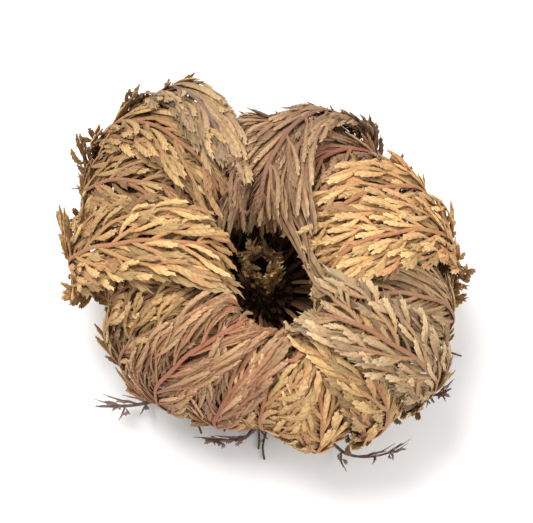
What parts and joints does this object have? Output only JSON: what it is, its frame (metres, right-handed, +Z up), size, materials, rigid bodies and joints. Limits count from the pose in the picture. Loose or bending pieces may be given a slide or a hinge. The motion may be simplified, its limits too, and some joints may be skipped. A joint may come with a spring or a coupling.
{
  "type": "rose of jericho",
  "caption": "Dry curled resurrection plant: a ball of overlapping scaly fronds that fold in over a central hollow and rest on a small flat root mat.",
  "frame": {"origin": "middle of the plant's bounding box, on the plane that it rests on", "axes": "+X along the plant's longest width, +Y along its other width, +Z up, out of the hollow"},
  "size_m": [0.075, 0.0692, 0.0467],
  "materials": {
    "frond_gold": "matt dry frond, golden straw, paler at the tips",
    "frond_tan": "matt dry frond, tan",
    "frond_red": "matt dry frond with a reddish-brown stem",
    "frond_mauve": "matt dry frond, dull mauve-brown",
    "frond_grey": "matt dry frond, pale greyish tan",
    "frond_olive": "matt inner frond, olive brown",
    "heart": "matt young frond, dark olive",
    "crown": "dull woody stem, dark brown",
    "roots": "dull fibrous roots, grey-brown"
  },
  "bodies": {
    "root": {"outer_frond_01": "frond_gold", "outer_frond_02": "frond_tan", "outer_frond_03": "frond_tan", "outer_frond_04": "frond_gold", "outer_frond_05": "frond_gold", "outer_frond_06": "frond_mauve", "outer_frond_07": "frond_mauve", "outer_frond_08": "frond_mauve", "outer_frond_09": "frond_red", "outer_frond_10": "frond_gold", "outer_frond_11": "frond_gold", "outer_frond_12": "frond_grey", "outer_frond_13": "frond_grey", "outer_frond_14": "frond_tan", "outer_frond_15": "frond_gold", "outer_frond_16": "frond_gold", "outer_frond_17": "frond_red", "outer_frond_18": "frond_red", "outer_frond_19": "frond_tan", "outer_frond_20": "frond_gold", "middle_frond_01": "frond_tan", "middle_frond_02": "frond_tan", "middle_frond_03": "frond_tan", "middle_frond_04": "frond_tan", "middle_frond_05": "frond_tan", "middle_frond_06": "frond_tan", "middle_frond_07": "frond_tan", "middle_frond_08": "frond_tan", "middle_frond_09": "frond_tan", "middle_frond_10": "frond_tan", "middle_frond_11": "frond_tan", "middle_frond_12": "frond_tan", "inner_frond_01": "frond_olive", "inner_frond_02": "frond_olive", "inner_frond_03": "frond_olive", "inner_frond_04": "frond_olive", "inner_frond_05": "frond_olive", "inner_frond_06": "frond_olive", "inner_frond_07": "frond_olive", "inner_frond_08": "frond_olive", "old_sprig_01": "frond_mauve", "old_sprig_02": "frond_mauve", "old_sprig_03": "frond_mauve", "old_sprig_04": "frond_mauve", "old_sprig_05": "frond_mauve", "old_sprig_06": "frond_mauve", "heart_sprig_1": "heart", "heart_sprig_2": "heart", "heart_sprig_3": "heart", "heart_sprig_4": "heart", "crown": "crown", "root_mat": "roots"}
  },
  "joints": []
}
